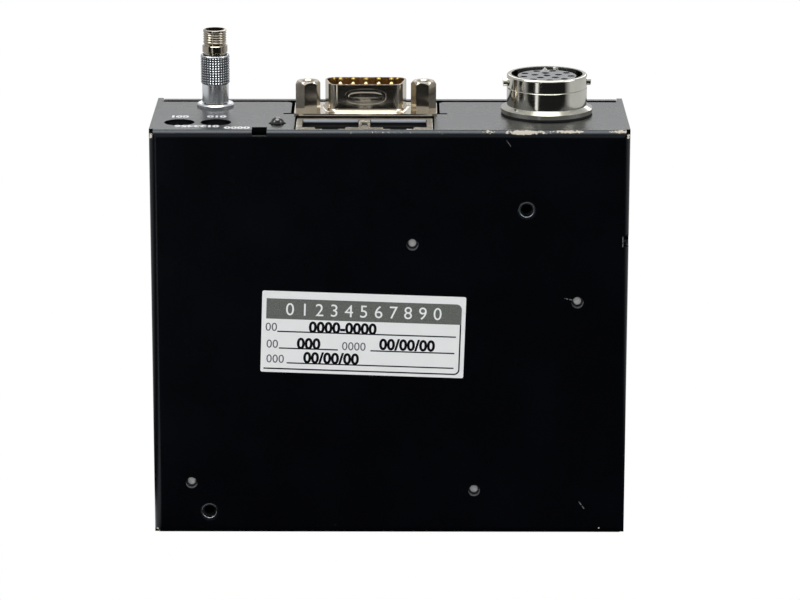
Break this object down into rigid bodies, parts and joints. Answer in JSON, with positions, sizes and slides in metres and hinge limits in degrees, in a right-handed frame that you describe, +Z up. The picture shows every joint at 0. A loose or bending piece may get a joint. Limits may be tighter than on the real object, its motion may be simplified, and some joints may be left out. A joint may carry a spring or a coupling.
{
  "type": "mass flow meter electronics module",
  "caption": "Black sheet-metal electronics box of a mass flow meter with network jacks, a D-shaped plug, a coaxial plug, a round bayonet receptacle and address switches on top.",
  "frame": {"origin": "middle of the box's underside, on the plane it stands on", "axes": "+X to the right of the labelled face, +Y away from it, +Z up towards the connectors"},
  "size_m": [0.102, 0.0341, 0.1064],
  "materials": {
    "powder_black": "satin powder coat",
    "bright_nickel": "bright nickel plating",
    "satin_nickel": "satin nickel plating",
    "plain_steel": "zinc plated",
    "gold_plate": "gold plating",
    "tinned_metal": "tinned",
    "amber_plastic": "glossy",
    "black_plastic": "matte",
    "dark_insert": "matte",
    "white_plastic": "matte",
    "paper": "satin label stock",
    "board_green": "solder mask",
    "lamp_lens": "dark tinted lens",
    "black_rubber": "matte",
    "grey_ribbon": "satin"
  },
  "bodies": {
    "box": {"chassis_tray": "powder_black", "rear_cover": "powder_black", "cover_screws": "powder_black", "board_standoffs": "plain_steel", "mounting_nuts": "plain_steel", "board_screws": "plain_steel", "paper_label": "paper", "main_board": "board_green", "switch_board": "board_green", "receptacle_board": "board_green", "low_digit_switch_body": "black_plastic", "high_digit_switch_body": "black_plastic", "digit_switch_leads": "tinned_metal", "zero_switch_body": "black_plastic", "status_lamp": "lamp_lens", "lamp_spacer": "black_plastic", "lamp_leads": "tinned_metal", "nine_pin_shell": "bright_nickel", "nine_pin_bracket": "black_plastic", "nine_pin_insulator": "amber_plastic", "nine_pin_contacts": "gold_plate", "jackscrews": "bright_nickel", "jackscrew_inserts": "plain_steel", "network_jack_shield": "satin_nickel", "network_jack_housing": "black_plastic", "network_jack_contacts": "gold_plate", "network_transformer": "black_plastic", "coax_receptacle_body": "satin_nickel", "coax_receptacle_nut": "satin_nickel", "coax_receptacle_insulator": "white_plastic", "coax_receptacle_contact": "gold_plate", "coax_lead": "tinned_metal", "plug_body": "satin_nickel", "plug_insulator": "white_plastic", "plug_contact": "gold_plate", "receptacle_gasket": "black_rubber", "receptacle_shell": "bright_nickel", "bayonet_pins": "bright_nickel", "receptacle_insert": "dark_insert", "receptacle_pointer": "white_plastic", "receptacle_sockets": "gold_plate", "receptacle_nut": "satin_nickel", "ribbon_header": "black_plastic", "ribbon_header_pins": "gold_plate", "ribbon_plug": "black_plastic", "ribbon_cable": "grey_ribbon", "sensor_header": "black_plastic", "sensor_header_pins": "gold_plate", "processor_chip": "black_plastic", "driver_chips": "black_plastic", "crystal": "tinned_metal", "capacitors": "tinned_metal", "power_coil": "black_plastic"},
    "low_dial": {"low_digit_rotor": "white_plastic"},
    "high_dial": {"high_digit_rotor": "white_plastic"},
    "zero_button": {"zero_plunger": "black_plastic"},
    "release_sleeve": {"plug_release_sleeve": "satin_nickel"}
  },
  "joints": [
    {"name": "low_digit_turn", "type": "hinge", "parent": "box", "child": "low_dial", "pos_m": [-0.0449, -0.0087, 0.0878], "axis": [0, 0, 1], "continuous": true},
    {"name": "high_digit_turn", "type": "hinge", "parent": "box", "child": "high_dial", "pos_m": [-0.0371, -0.0087, 0.0878], "axis": [0, 0, 1], "continuous": true},
    {"name": "zero_press", "type": "slide", "parent": "box", "child": "zero_button", "axis": [0, 0, -1], "range_m": [0, 0.00025], "stiffness_N_per_m": 800},
    {"name": "sleeve_pull", "type": "slide", "parent": "box", "child": "release_sleeve", "axis": [0, 0, 1], "range_m": [0, 0.0012], "stiffness_N_per_m": 400}
  ]
}
